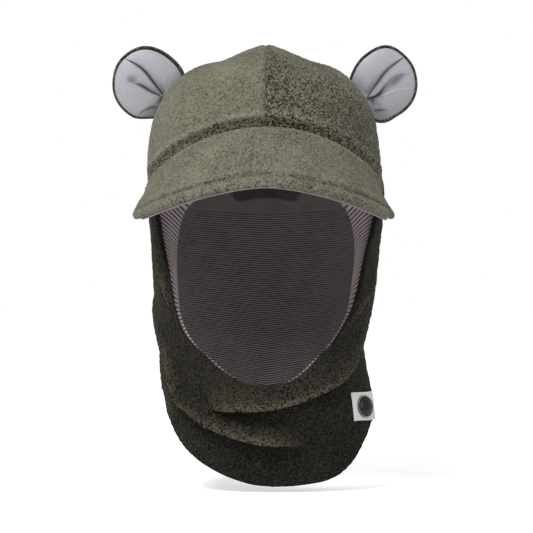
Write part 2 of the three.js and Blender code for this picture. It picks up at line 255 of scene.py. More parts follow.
def make_object(name, points, faces, material, attributes=None):
    """A smooth closed piece from points in millimetres; faces is a list of arrays of quads or triangles."""
    points = np.asarray(points, float).reshape(-1, 3)
    if volume_of(points, faces) < 0:
        faces = [part[:, ::-1] for part in faces]
    mesh = bpy.data.meshes.new(name)
    loops = np.concatenate([part.reshape(-1) for part in faces])
    sizes = np.concatenate([np.full(len(part), part.shape[1]) for part in faces])
    starts = np.concatenate([[0], np.cumsum(sizes)[:-1]])
    mesh.vertices.add(len(points))
    mesh.vertices.foreach_set("co", (points * 0.001).astype(np.float32).ravel())
    mesh.loops.add(len(loops))
    mesh.loops.foreach_set("vertex_index", loops.astype(np.int32))
    mesh.polygons.add(len(sizes))
    mesh.polygons.foreach_set("loop_start", starts.astype(np.int32))
    mesh.polygons.foreach_set("use_smooth", np.ones(len(sizes), bool))
    mesh.update(calc_edges=True)
    mesh.validate()
    for key, values in (attributes or {}).items():
        layer = mesh.attributes.new(key, "FLOAT", "POINT")
        layer.data.foreach_set("value", np.asarray(values, np.float32).ravel())
    mesh.materials.append(material)
    piece = bpy.data.objects.new(name, mesh)
    bpy.context.collection.objects.link(piece)
    return piece


def quads_of(index):
    """The quads between neighbours in a grid of vertex numbers."""
    corners = (index[:-1, :-1], index[1:, :-1], index[1:, 1:], index[:-1, 1:])
    return np.stack(corners, -1).reshape(-1, 4)


def closed_columns(index):
    """The same grid with its first column again at its end."""
    return np.concatenate([index, index[:, :1]], axis=1)


def side_cap(rows, split, column, columns):
    """Triangles that close one open end of a cross-section loop, zipped between its two skins."""
    outer = np.arange(split)
    inner = np.arange(rows - 1, split - 1, -1)
    i, j = 0, 0
    found = []
    while i < len(outer) - 1 or j < len(inner) - 1:
        outer_next = (i + 1) / max(len(outer) - 1, 1)
        inner_next = (j + 1) / max(len(inner) - 1, 1)
        if j == len(inner) - 1 or (i < len(outer) - 1 and outer_next <= inner_next):
            found.append((outer[i + 1], outer[i], inner[j]))
            i += 1
        else:
            found.append((outer[i], inner[j], inner[j + 1]))
            j += 1
    triangles = np.array(found) * columns + column
    return triangles[:, ::-1] if column else triangles


def sheet_object(name, points, split, material, attributes=None, ring=False):
    """A closed sheet: points[row, column], whose rows go once round its cross-section.

    The first split rows are the fine outer skin. Unless it is a ring, its two side ends are capped.
    """
    rows, columns = points.shape[:2]
    index = np.arange(rows * columns).reshape(rows, columns)
    index = np.concatenate([index, index[:1]])
    if ring:
        faces = [quads_of(closed_columns(index))]
    else:
        caps = [side_cap(rows, split, column, columns) for column in (0, columns - 1)]
        faces = [quads_of(index), *caps]
    return make_object(name, points, faces, material, attributes)


def two_skins(fine, coarse_rows):
    """Rows once round a thin sheet, fine over the skin that is seen and coarse back over the other."""
    coarse = np.linspace(1, 0, coarse_rows)[1:-1]
    rows = np.concatenate([fine, [1], coarse, [0]])[:, None]
    seen = (np.arange(len(rows)) < len(fine))[:, None]
    return rows, len(fine), seen


def section(top_roll, hem_roll, fine_rows, coarse_rows, turns=5):
    """The rows once round a sheet whose two edges are rolled.

    Each row is (mm from the top edge, mm from the hem, share between the two, depth).
    """
    quarter = np.linspace(0, math.pi / 2, turns + 1)

    def rolled(radius, angle):
        return radius * (1 - math.sin(angle)), radius * (1 - math.cos(angle))

    rows = []
    for angle in quarter[::-1]:
        along, depth = rolled(top_roll, angle)
        rows.append((along, hem_roll, 0, depth))
    for share in np.linspace(0, 1, fine_rows + 1)[1:-1]:
        rows.append((top_roll, hem_roll, share, 0))
    for angle in quarter:
        along, depth = rolled(hem_roll, angle)
        rows.append((top_roll, along, 1, depth))
    split = len(rows)
    for angle in quarter[1:]:
        along, depth = rolled(hem_roll, math.pi / 2 + angle)
        rows.append((top_roll, along, 1, depth))
    for share in np.linspace(1, 0, coarse_rows + 1)[1:-1]:
        rows.append((top_roll, hem_roll, share, 2 * mix(top_roll, hem_roll, share)))
    for angle in quarter[:0:-1]:
        along, depth = rolled(top_roll, math.pi / 2 + angle)
        rows.append((along, hem_roll, 0, depth))
    return np.array(rows), split


def row_shares(rows, length):
    """Where each row of a section lies, as a share of each column's length, and its depth."""
    top, hem, share, depth = (rows[:, k : k + 1] for k in range(4))
    top = np.minimum(top, length * 0.3)
    hem = np.minimum(hem, length * 0.3)
    return (top + share * (length - top - hem)) / length, depth + 0 * length


def rounded_columns(count, edge, length, turns=4):
    """Column places from 0 to 1, packed at both ends so that an edge of that size can be rounded."""
    ends = edge / length * (1 - np.sin(np.linspace(math.pi / 2, 0, turns + 1)[:-1]))
    middle = np.linspace(edge / length, 1 - edge / length, count)
    return np.concatenate([ends, middle, 1 - ends[::-1]])


# ---------------------------------------------------------------- the body surface


def body_point(angle, height, depth):
    """A place on the body at that angle and height, that far in from the outer face of the fleece."""
    side = side_y(height)
    ahead = np.cos(np.radians(angle))
    end = np.where(ahead > 0, front_y(height) + depth, back_y(height) - depth)
    aside = np.sin(np.radians(angle))
    x = centre_x(height) + (half_width(height) - depth) * aside
    drawn_in = np.where(aside < 0, -2.8 * hump(height, -250, 15), 1.8 * hump(height, -203, 22))
    x = x - drawn_in * aside**2
    y = side + (end - side) * np.abs(ahead)
    return np.stack(np.broadcast_arrays(x, y, height), -1)


def crown_half_point(sign, u, v, depth):
    """u runs from the centre seam to the side, v from the front to the back."""
    b = 2 * v - 1
    p = u * np.sqrt(1 - b * b / 2)
    q = -b * np.sqrt(1 - u * u / 2)
    radius = np.minimum(1, np.hypot(p, q))
    angle = np.degrees(np.arctan2(p, q))
    seam = seam_height(np.abs(angle))
    out = np.sin(radius * math.pi / 2)
    up = np.maximum(0, 1 - out**CROWN_SQUARENESS) ** (1 / CROWN_SQUARENESS)
    rim = body_point(angle, seam, depth)
    x = rim[..., 0] * out
    ridge = CROWN_RIDGE * np.maximum(0, 1 - np.abs(x) / CROWN_RIDGE_WIDTH) * up
    z = mix(seam, CROWN_TOP - depth, up) + ridge
    points = np.stack(np.broadcast_arrays(sign * x, rim[..., 1] * out, z), -1)
    return points, angle, z - seam


def front_top(share, inset):
    """Angle and height of the front panel's upper edge, from the chin (0) to its side seam (1)."""
    past = (share - TEMPLE_SHARE) / (1 - TEMPLE_SHARE)
    seam_angle = mix(TEMPLE_ANGLE + inset * DEGREES_PER_MM, SIDE_SEAM_TOP, past)
    along = np.clip(share / TEMPLE_SHARE, 0, 1)
    angle = TEMPLE_ANGLE * mix(np.sin(along * math.pi / 2), 1 - (1 - along) ** 2, 0.5)
    slope = (face_edge_height(angle) - face_edge_height(angle - 1)) * DEGREES_PER_MM
    outwards = inset / np.hypot(slope, 1)
    face_angle = angle + outwards * slope * DEGREES_PER_MM
    on_seam = share >= TEMPLE_SHARE
    height = np.where(on_seam, seam_height(seam_angle), face_edge_height(angle) - outwards)
    return np.where(on_seam, seam_angle, face_angle), height


def front_place(across, v, inset=0):
    """Angle and height on the front panel: across runs from -1 over the chin to 1, v from top to hem."""
    share = np.abs(across)
    top_angle, top_height = front_top(share, inset)
    hem_angle = SIDE_SEAM_HEM * share
    angle = np.sign(across) * mix(top_angle, hem_angle, v)
    return angle, mix(top_height, hem_height(hem_angle), v)


def back_place(u, v):
    """Angle and height on the back panel: u runs from one side seam to the other, v from top to hem."""
    top_angle = mix(SIDE_SEAM_TOP, 360 - SIDE_SEAM_TOP, u)
    hem_angle = mix(SIDE_SEAM_HEM, 360 - SIDE_SEAM_HEM, u)
    top_height = seam_height(np.minimum(top_angle, 360 - top_angle))
    hem = hem_height(np.minimum(hem_angle, 360 - hem_angle))
    return mix(top_angle, hem_angle, v), mix(top_height, hem, v)


def column_lengths(place):
    """The length of each column of a panel, along the cloth from its top to its hem."""
    points = body_point(*place(np.linspace(0, 1, 33)[:, None]), 0)
    return np.sum(np.linalg.norm(np.diff(points, axis=0), axis=-1), axis=0)


# ---------------------------------------------------------------- folds of the neck

# Each fold is a lip of cloth that hangs over the cloth below it. Its line is (angle, height) from the
# viewer's left to right; out is how far the lip stands out, tuck how far the crease under it goes in, drop
# how far the lip hangs down; above and below are how far it takes the cloth to come back on each side; flat
# is 1 where the fold lies flatter at the sides of the neck than at its front.
FOLDS = [
    {
        "line": [
            (-34, -251.5), (-28, -250.5), (-16, -249), (-2, -248), (12, -244.2), (26, -238.4), (43, -231.3),
            (55, -223.8), (68, -215), (80, -206), (98, -198), (118, -196),
        ],
        "out": 8.5, "tuck": 2.4, "drop": 5.5, "above": 24, "below": 17, "fade": (0.16, 0.35), "flat": 1,
    },
    {
        "line": [
            (-128, -190), (-108, -185), (-92, -186), (-82, -196), (-76, -209), (-69, -222.4), (-62, -234.4),
            (-56, -246), (-45, -254.2), (-34, -261.7), (-19, -267.8), (-5, -271.5), (9, -274.3),
            (22, -276),
        ],
        "out": 8.0, "tuck": 2.4, "drop": 5.0, "above": 15, "below": 20, "fade": (0.2, 0.16), "flat": 1,
    },
    {
        "line": [(-74, -193), (-69, -201.6), (-62, -217.9), (-57, -230), (-54, -241), (-48, -250)],
        "out": 2.6, "tuck": 1.0, "drop": 1.2, "above": 9, "below": 7, "fade": (0.3, 0.3), "flat": 0,
    },
    {
        "line": [(-76, -140), (-69, -152.5), (-58, -172.5), (-50, -185), (-44, -194)],
        "out": 2.8, "tuck": 0.8, "drop": 0.8, "above": 9, "below": 7, "fade": (0.3, 0.4), "flat": 0,
    },
    {
        "line": [(42, -224), (51, -217), (59, -210.2), (67, -202), (72, -192), (78, -178)],
        "out": 1.8, "tuck": 0.6, "drop": 0.8, "above": 9, "below": 7, "fade": (0.35, 0.35), "flat": 0,
    },
    {
        "line": [(50, -196), (55, -188), (60, -178), (70, -168.2), (77, -156), (84, -140)],
        "out": 3.0, "tuck": 0.8, "drop": 0.8, "above": 8, "below": 7, "fade": (0.3, 0.4), "flat": 0,
    },
    {
        "line": [(104, -226), (132, -214), (168, -209), (205, -213), (238, -226)],
        "out": 4.0, "tuck": 1.4, "drop": 3.0, "above": 22, "below": 16, "fade": (0.3, 0.3), "flat": 0,
    },
    {
        "line": [(122, -247), (150, -239), (186, -236), (220, -243)],
        "out": 2.6, "tuck": 1.0, "drop": 1.6, "above": 14, "below": 12, "fade": (0.35, 0.35), "flat": 0,
    },
    {
        "line": [(100, -160), (125, -167), (150, -178), (178, -182), (206, -178), (232, -165)],
        "out": 1.8, "tuck": 0.6, "drop": 0.6, "above": 16, "below": 12, "fade": (0.4, 0.4), "flat": 0,
    },
]
FOLD_CREASE = 3.5  # across a crease, from the lip to the cloth below


def beside_fold(angle, height, line):
    """What beside_line finds for a fold's line, over the cloth: its left is the way up."""
    line_angle, line_height = smooth_line(line, 4 * len(line))
    middle = (line_angle[0] + line_angle[-1]) / 2
    turned = (angle - middle + 180) % 360 - 180 + middle
    return beside_line(turned * MM_PER_DEGREE, height, line_angle * MM_PER_DEGREE, line_height)


def folded(angle, height):
    """How far the folds move the cloth: outwards, in angle, in height; and how near a lip it is, 0 to 1."""
    angle, height = np.broadcast_arrays(np.asarray(angle, float), np.asarray(height, float))
    out, turn, rise, lip = (np.zeros(angle.shape) for _ in range(4))
    flatter = mix(0.3, 1, np.cos(np.radians(angle)) ** 2)
    for fold in FOLDS:
        signed, share, way = beside_fold(angle, height, fold["line"])
        signed = signed - fold["drop"]
        start, end = fold["fade"]
        strength = ease(0, start, share) * ease(0, end, 1 - share) * mix(1, flatter, fold["flat"])
        above = 0.5 + 0.5 * np.cos(math.pi * np.clip(signed / fold["above"], 0, 1))
        crease = ease(0, FOLD_CREASE, -signed)
        back = ease(FOLD_CREASE, FOLD_CREASE + fold["below"], -signed)
        below = mix(mix(fold["out"], -fold["tuck"], crease), 0, back)
        out = out + strength * np.where(signed > 0, fold["out"] * above, below)
        hang = fold["drop"] * strength * np.where(signed > 0, hump(signed, 0, 5), hump(signed, 0, 1.9))
        turn = turn - hang * way[..., 0] / MM_PER_DEGREE
        rise = rise - hang * way[..., 1]
        # Painted highlight: lit is full on each fold's lip and just under it and softer up the cloth above,
        # where light falls on the folds; it goes out as lip.
        lit = np.where(signed > 0, 0.4 * hump(signed, 0, 0.36 * fold["above"]), hump(signed, 0, 2))
        lit = np.maximum(lit, hump(signed, 0.5, 3.2))
        lip = np.maximum(lip, strength * lit * min(1, fold["out"] / 5))
    return out, turn, rise, lip


def hood_surface(angle, height, depth, weight):
    """The hood's cloth with its folds; weight 0 leaves the folds out, for the skin behind."""
    out, turn, rise, lip = folded(angle, height)
    rise = rise - ease(-235, -290, height) * (7 * hump(angle, 46, 25) - 2 * hump(angle, -28, 14))
    points = body_point(angle + turn * weight, height + rise * weight, depth - out * weight)
    return points, lip * weight


def fleece_pile(points, coarse, seed):
    """The curly lumps of the fleece, from about -1 to 1: round on top, with narrow gaps between."""
    lumps = 2.4 * np.abs(noise(points, coarse, seed)) - 0.6
    return lumps + 0.45 * noise(points, coarse * 0.55, seed + 1)


def finish_fleece(points, base, weight, split, pile, extra, crest_highlight, grain, seed):
    """Raise the pile on a grid of cloth. extra is added along the normals of base, the unfolded cloth."""
    normal = body_normals(base, split)
    lumps = fleece_pile(points, grain, seed)
    wave = 0.65 * noise(base, 34, seed + 7) + 0.3 * noise(base, 15, seed + 8)
    points = points + normal * ((extra + lumps * pile * weight + wave)[..., None])
    # The lumps also darken the fleece's gaps as painted shade, and the crest mask marks where a painted
    # highlight goes.
    return points, {"pile": lumps, "crest_highlight": crest_highlight, "nap": HOOD_NAP + 0 * lumps}


# ---------------------------------------------------------------- materials


class Finish:
    """A Principled material whose look is worked out by its nodes, in object space."""

    def __init__(self, name, **settings):
        self.material = bpy.data.materials.new(name)
        self.material.use_nodes = True
        self.tree = self.material.node_tree
        self.shader = self.tree.nodes["Principled BSDF"]
        for socket, value in settings.items():
            self.shader.inputs[socket.replace("_", " ")].default_value = value
        self.place = self.tree.nodes.new("ShaderNodeTexCoord").outputs["Object"]

    def node(self, kind, inputs=None, **settings):
        made = self.tree.nodes.new(kind)
        for key, value in settings.items():
            setattr(made, key, value)
        for key, value in (inputs or {}).items():
            if isinstance(value, bpy.types.NodeSocket):
                self.tree.links.new(value, made.inputs[key])
            else:
                made.inputs[key].default_value = value
        return made

    def noise(self, size, detail, stretch=None):
        """Noise whose features are about size millimetres apart."""
        place = self.place
        if stretch:
            place = self.node("ShaderNodeMapping", {"Vector": place, "Scale": stretch}).outputs[0]
        inputs = {"Vector": place, "Scale": 1000 / size, "Detail": detail}
        return self.node("ShaderNodeTexNoise", inputs).outputs[0]

    def curls(self, size):
        """Round blobs about size millimetres apart: 1 in their middles and 0 between them."""
        twist = self.node("ShaderNodeTexNoise", {"Vector": self.place, "Scale": 700 / size, "Detail": 1.0})
        bent = self.node(
            "ShaderNodeVectorMath",
            {0: twist.outputs["Color"], 1: (size * 0.0011,) * 3, 2: self.place},
            operation="MULTIPLY_ADD",
        )
        cells = self.node("ShaderNodeTexVoronoi", {"Vector": bent.outputs[0], "Scale": 1000 / size})
        return self.math("SUBTRACT", 1.0, cells.outputs["Distance"])

    def attribute(self, name):
        return self.node("ShaderNodeAttribute", attribute_name=name).outputs["Fac"]

    def math(self, operation, a, b, c=0.0):
        return self.node("ShaderNodeMath", {0: a, 1: b, 2: c}, operation=operation).outputs[0]

    def scaled(self, value, factor, offset):
        """value times factor, plus offset."""
        return self.math("MULTIPLY_ADD", value, factor, offset)

    def ramp(self, value, stops):
        """Colours by value: stops are (place, (r, g, b))."""
        found = self.node("ShaderNodeValToRGB", {"Fac": value})
        elements = found.color_ramp.elements
        while len(elements) < len(stops):
            elements.new(0.5)
        for element, (place, colour) in zip(elements, stops):
            element.position = place
            element.color = (*colour, 1)
        return found.outputs["Color"]

    def blend(self, factor, a, b):
        return self.node("ShaderNodeMix", {0: factor, 6: a, 7: b}, data_type="RGBA").outputs[2]

    def colour(self, value):
        self.tree.links.new(value, self.shader.inputs["Base Color"])

    def roughness(self, value):
        self.tree.links.new(value, self.shader.inputs["Roughness"])

    def bump(self, height, millimetres, strength):
        """Add relief of that height over what is already there."""
        inputs = {"Height": height, "Distance": millimetres * 0.001, "Strength": strength}
        found = self.node("ShaderNodeBump", inputs)
        before = self.shader.inputs["Normal"]
        if before.is_linked:
            self.tree.links.new(before.links[0].from_socket, found.inputs["Normal"])
        self.tree.links.new(found.outputs[0], before)


def fleece_finish(name, dark, middle, light, crest_highlight, grain, sheen, tint):
    """Napped fleece: curls that are dark between and pale on top, with a soft sheen from the fibre ends.

    grain is the size of a curl in millimetres. The attribute nap is how far the curls stand apart, 0 to 1.
    The curls' dark gaps and pale tops are partly the fleece's own uneven tone and partly painted shade and
    painted light; the attribute pile darkens the gaps further as painted shade.
    """
    finish = Finish(
        name,
        Roughness=0.95,
        Sheen_Weight=sheen,
        Sheen_Roughness=0.45,
        Sheen_Tint=(*tint, 1),
        Specular_IOR_Level=0.15,
    )
    curls = finish.curls(grain)
    nap = finish.attribute("nap")
    fibres = finish.noise(grain * 0.45, 2.0, (1.0, 1.0, 0.6))
    patches = finish.noise(26, 2.0)
    # Painted shade: pile and the curls darken the gaps between lumps, over the uneven tone of fibres and
    # patches.
    depth = finish.scaled(finish.attribute("pile"), 0.1, 0.5)
    depth = finish.math("ADD", depth, finish.math("MULTIPLY", nap, finish.scaled(curls, 1.1, -0.8)))
    depth = finish.math("ADD", depth, finish.scaled(fibres, 1.0, -0.5))
    depth = finish.math("ADD", depth, finish.scaled(patches, 0.4, -0.2))
    colour = finish.ramp(depth, [(0.05, dark), (0.5, middle), (0.95, light)])
    # Painted highlight: the pale crest colour is blended in where the attribute marks lit crests, most on the
    # curls' tops.
    painted_highlight = finish.math("MULTIPLY", finish.attribute("crest_highlight"), finish.scaled(depth, 1.6, -0.05))
    finish.colour(finish.blend(painted_highlight, colour, (*crest_highlight, 1)))
    finish.roughness(finish.scaled(fibres, 0.12, 0.86))
    finish.bump(curls, 0.6, 0.9)
    finish.bump(fibres, 0.22, 0.8)
    return finish.material


OLIVE_DARK = (0.026, 0.024, 0.015)
OLIVE_PALE = (0.25, 0.24, 0.174)
crown_fleece = fleece_finish(
    "crown fleece", OLIVE_DARK, (0.165, 0.158, 0.114), OLIVE_PALE, OLIVE_PALE,
    1.4, 0.18, (0.75, 0.74, 0.62),
)
brim_fleece = fleece_finish(
    "peak fleece", OLIVE_DARK, (0.17, 0.162, 0.12), OLIVE_PALE, OLIVE_PALE,
    1.3, 0.2, (0.75, 0.74, 0.62),
)
hood_fleece = fleece_finish(
    "hood fleece", (0.003, 0.0027, 0.002), (0.0235, 0.021, 0.0148), (0.058, 0.053, 0.037),
    (0.13, 0.12, 0.082), 1.25, 0.08, (0.6, 0.55, 0.42),
)
HOOD_NAP = 0.8
BRIM_NAP = 0.45
EAR_NAP = 0.8


def knit_finish():
    """Rib knit: pale wales, dark between them, with small stitches along each wale."""
    finish = Finish(
        "rib knit",
        Roughness=0.9,
        Sheen_Weight=0.3,
        Sheen_Roughness=0.5,
        Sheen_Tint=(0.9, 0.82, 0.84, 1),
        Specular_IOR_Level=0.2,
    )
    stitches = finish.noise(0.75, 1.0)
    patches = finish.noise(14, 2.0)
    depth = finish.math("ADD", finish.attribute("rib"), finish.scaled(stitches, 0.35, -0.17))
    depth = finish.math("ADD", depth, finish.scaled(patches, 0.2, -0.1))
    # Painted shade: the near-black between the wales stands for the shade in the grooves between them; the
    # lighter wales carry the knit's mauve.
    stops = [(0.25, (0.02, 0.015, 0.017)), (0.6, (0.2, 0.16, 0.17)), (0.95, (0.4, 0.335, 0.345))]
    finish.colour(finish.ramp(depth, stops))
    finish.bump(stitches, 0.18, 0.7)
    return finish.material


def plain_cloth(name, dark, light, size, relief, roughness, sheen, crease_shade_colour=None):
    """A fine cloth of one colour, with its yarns as small crossed relief; its last argument, if given, is the
    colour of painted shade in its creases, where the attribute crease marks it.
    """
    finish = Finish(
        name, Roughness=roughness, Sheen_Weight=sheen, Sheen_Roughness=0.4, Specular_IOR_Level=0.3
    )
    warp = finish.noise(size, 1.0, (1.0, 1.0, 0.22))
    weft = finish.noise(size, 1.0, (0.22, 1.0, 1.0))
    patches = finish.noise(18, 2.0)
    yarns = finish.math("ADD", finish.scaled(warp, 0.5, 0), finish.scaled(weft, 0.5, 0))
    tone = finish.math("ADD", finish.scaled(yarns, 1.2, -0.1), finish.scaled(patches, 0.3, -0.15))
    colour = finish.ramp(tone, [(0.25, dark), (0.75, light)])
    if crease_shade_colour:
        colour = finish.blend(finish.attribute("crease"), colour, (*crease_shade_colour, 1))
    finish.colour(colour)
    finish.roughness(finish.scaled(yarns, 0.15, roughness - 0.07))
    finish.bump(yarns, relief, 0.6)
    return finish.material


rib_knit = knit_finish()
brim_lining = plain_cloth(
    "peak lining", (0.26, 0.215, 0.225), (0.4, 0.345, 0.355), 0.6, 0.1, 0.85, 0.25
)
ear_satin = plain_cloth(
    "ear satin", (0.31, 0.316, 0.342), (0.4, 0.407, 0.436), 0.5, 0.05, 0.42, 0.1, (0.008, 0.008, 0.012)
)
wadding = plain_cloth("wadding", (0.62, 0.61, 0.58), (0.85, 0.84, 0.81), 3.0, 0.5, 0.95, 0.4)
stiffener = plain_cloth("stiffener", (0.6, 0.6, 0.58), (0.7, 0.7, 0.68), 2.0, 0.02, 0.5, 0.0)
elastic = plain_cloth("elastic", (0.5, 0.47, 0.47), (0.72, 0.69, 0.69), 0.7, 0.2, 0.8, 0.1)
label_cloth = plain_cloth("label cloth", (0.56, 0.56, 0.55), (0.7, 0.7, 0.69), 0.45, 0.06, 0.6, 0.2)


def badge_finish():
    """Glossy black moulding with fine handling marks; its rim, by attribute, is a thin grey line."""
    finish = Finish("badge", Roughness=0.08, Specular_IOR_Level=0.4)
    marks = finish.noise(3.0, 4.0)
    black = finish.ramp(marks, [(0.3, (0.002, 0.0022, 0.003)), (0.8, (0.005, 0.0055, 0.007))])
    finish.colour(finish.blend(finish.attribute("ring"), black, (0.28, 0.29, 0.3, 1)))
    finish.roughness(finish.scaled(marks, 0.14, 0.07))
    return finish.material


badge_black = badge_finish()

# ---------------------------------------------------------------- crown

CROWN_GRAIN = 2.4


def crown_ridge(points, above_seam):
    """The halves meet in a low ridge, are drawn in beside it, and lean a little to the wearer's right."""
    x = np.abs(points[..., 0])
    right = 2.6 * ease(5, 60, above_seam)
    left = -2.2 * ease(64, 20, above_seam) * ease(0, 12, above_seam)
    lean = np.where(points[..., 0] < 0, right, left) * ease(30, 75, x)
    return (0.5 * np.exp(-x / 9) - 3.0 * hump(x, 30, 17)) * ease(4, 34, above_seam) + lean


def crown_valleys(points, angle, above_seam):
    """Relief of the crown's seams: the centre seam, the lower seam, and over the peak a soft roll."""
    x = np.abs(points[..., 0])
    centre = -1.3 * hump(x, 0, 1.0) + 0.4 * hump(x, 4, 3)
    front = ease(84, 70, np.abs(angle))
    seam = -2.2 * hump(above_seam, 0, 1.8)
    roll = 2.4 * hump(above_seam, 9.5, 3.2) + 1.2 * hump(above_seam, 15, 9) - 0.7 * hump(above_seam, 4.5, 2.5)
    return centre * ease(0, 6, above_seam) + seam + roll * front


def crown_piece(side, sign):
    """Half of the fleece crown. Its nap lies differently on the two sides, so their curls do too."""
    spread = 1 - (1 - np.linspace(0, 1, 151)) ** 1.25
    both = np.concatenate([-spread[:0:-1], spread])
    v, split, outside = two_skins((both + 1) / 2, 13)
    depth = np.where(outside, 0, FLEECE)
    points, angle, above_seam = crown_half_point(sign, spread[None, :], v, depth)
    weight = np.where(depth > 0, 0, 1) + 0 * above_seam
    relief = crown_valleys(points, angle, above_seam) * weight + crown_ridge(points, above_seam)
    front = ease(84, 70, np.abs(angle)) * weight
    # Painted highlight on the soft roll over the peak, whose lower half faces down into shade.
    crest_highlight = (0.7 * hump(above_seam, 9.5, 2.2) + 0.75 * hump(above_seam, 5, 2.8)) * front
    pile = 0.3 * (1 - 0.6 * hump(above_seam, 0, 3)) * (0.6 if side == "right" else 1.0)
    pile = pile + 0.25 * hump(above_seam, 4.5, 3.5) * front
    points, attributes = finish_fleece(points, points, weight, split, pile, relief, crest_highlight, CROWN_GRAIN, 11)
    # Painted shade: the fleece is darkened in a band just above the lower seam.
    attributes["pile"] = attributes["pile"] - 1.2 * hump(above_seam, 1.0, 2.0) * front
    lie = 1.0 if side == "left" else 0.45
    ruffled = mix(0.75, 0.25, lie) * hump(above_seam, 4.5, 3.5) * front
    attributes["nap"] = mix(0.7, lie, ease(120, 60, np.abs(angle))) + ruffled
    from_seam = spread[None, :] * 60
    points[..., 0] = sign * np.maximum(points[..., 0] * sign, 0.02 * from_seam)
    points[:, 0, 0] = -0.1 * sign
    return sheet_object(f"crown_{side}_fleece", points, split, crown_fleece, attributes)


def crown_lining(side, sign):
    """Ribs run from front to back; the seen skin is the inner one."""
    ribs = 74
    u = np.linspace(0, 1, ribs * 6 + 1)
    v, split, inside = two_skins(np.linspace(0, 1, 61), 9)
    depth = np.where(inside, LINING_DEPTH + RIB_KNIT, LINING_DEPTH)
    points, _, above_seam = crown_half_point(sign, u[None, :], v, depth)
    normal = body_normals(points, split)
    points = points + normal * crown_ridge(points, above_seam)[..., None]
    wale = np.abs(np.sin(math.pi * ribs * u))[None, :] ** 0.7 + 0 * v
    lift = np.where(inside, 0.5 * wale * ease(0, 3, above_seam), 0)
    points = points - normal * lift[..., None]
    points[:, 0, 0] = -0.1 * sign
    return sheet_object(
        f"lining_crown_{side}_knit", points, split, rib_knit, {"rib": np.where(inside, wale, 0.5)},
    )


# ---------------------------------------------------------------- hood

HOOD_ROLL = 1.6
HOOD_GRAIN = 2.2


def hood_panel(name, place, rows, seed):
    """A fleece panel: place gives the angles and heights across it for a share of the way down."""
    section_rows, split = section(HOOD_ROLL, HOOD_ROLL - 0.3, rows, 12)
    v, depth = row_shares(section_rows, column_lengths(place)[None, :])
    angle, height = place(v)
    weight = np.clip(1 - depth / (2 * HOOD_ROLL), 0, 1)
    points, lip = hood_surface(angle, height, depth, weight)
    side_edge = mix(SIDE_SEAM_TOP, SIDE_SEAM_HEM, v)
    beside = np.abs(np.abs((angle + 180) % 360 - 180) - side_edge) * MM_PER_DEGREE
    outer = (depth < HOOD_ROLL * 0.9) * 1.0
    valley = (0.4 * hump(beside, 4.5, 3) - 1.9 * hump(beside, 0, 1.5)) * outer
    base = body_point(angle, height, 0)
    # lip is the mask of the painted highlight on the folds' lips.
    points, attributes = finish_fleece(points, base, weight, split, 0.3, valley, lip, HOOD_GRAIN, seed)
    return sheet_object(name, points, split, hood_fleece, attributes)


def hood_front():
    across = np.linspace(-1, 1, 421)[None, :]
    return hood_panel("hood_front_fleece", lambda v: front_place(across, v), 185, 21)


def hood_back():
    u = np.linspace(0, 1, 341)[None, :]
    return hood_panel("hood_back_fleece", lambda v: back_place(u, v), 200, 31)


def lining_panel(name, place, columns, ribs_across, ribs_down):
    """A lining panel whose ribs run down it, or across it where ribs_down is given."""
    fine_rows = ribs_down * 6 + 1 if ribs_down else 61
    v, split, inside = two_skins(np.linspace(0, 1, fine_rows), 9)
    depth = np.where(inside, LINING_DEPTH + RIB_KNIT, LINING_DEPTH)
    angle, height = place(v * LINING_LENGTH)
    points = body_point(angle, height, depth)
    normal = body_normals(points, split)
    phase = v * ribs_down if ribs_down else columns * ribs_across
    wale = np.abs(np.sin(math.pi * phase)) ** 0.7 + 0 * angle
    slack = 0.5 * noise(points, 30, 41)
    points = points - normal * np.where(inside, 0.5 * wale + slack, slack)[..., None]
    return sheet_object(name, points, split, rib_knit, {"rib": np.where(inside, wale, 0.5)})


def lining_front():
    across = np.linspace(-1, 1, 1201)[None, :]
    return lining_panel(
        "lining_front_knit", lambda v: front_place(across, v, LINING_INSET), across, 100, 0,
    )


def lining_back():
    u = np.linspace(0, 1, 101)[None, :]
    return lining_panel("lining_back_knit", lambda v: back_place(u, v), u, 0, 84)


# ---------------------------------------------------------------- face cuff

CUFF_RIBS = 176
CUFF_ROLL = 2.0


def closed_curve(knots):
    """A smooth closed curve through knots, as a function of a turn from 0 to 1."""
    knots = np.array(knots, float)
    count = len(knots)

    def function(turn):
        at = (turn % 1) * count
        i = np.floor(at).astype(int) % count
        t = (at - np.floor(at))[..., None]
        a, b, c, d = (knots[(i + k) % count] for k in (-1, 0, 1, 2))
        return b + 0.5 * t * (c - a + t * (2 * a - 5 * b + 4 * c - d + t * (3 * (b - c) + d - a)))

    return function


face_loop = closed_curve(face_half + [(-x, z) for x, z in face_half[-2:0:-1]])


def cuff_ends(turn):
    """The outer and the inner edge of the cuff at a turn round the opening from the chin."""
    share = 1 - np.abs(2 * turn - 1)
    angle, height = front_top(np.minimum(share, TEMPLE_SHARE) * 0.9999, CUFF_TUCK)
    past = np.clip((share - TEMPLE_SHARE) / (1 - TEMPLE_SHARE), 0, 1)
    over_angle = (TEMPLE_ANGLE + CUFF_TUCK * DEGREES_PER_MM) * (1 - past)
    below_temple = share <= TEMPLE_SHARE
    angle = np.where(below_temple, angle, over_angle)
    seam = seam_height(angle) - CUFF_TUCK
    height = np.where(below_temple, np.minimum(height, seam), seam)
    root = body_point(angle, height, LINING_DEPTH)
    centre = centre_x(root[..., 2])
    root[..., 0] = np.where(turn > 0.5, 2 * centre - root[..., 0], root[..., 0])
    face = face_loop(turn)
    x, z = face[..., 0], face[..., 1]
    chin = ease(0.36, 0.06, share)
    inner = np.stack([x + centre_x(z), root[..., 1] + CUFF_BACK + 3 * chin, z - 3.5 * chin], -1)
    return root, inner


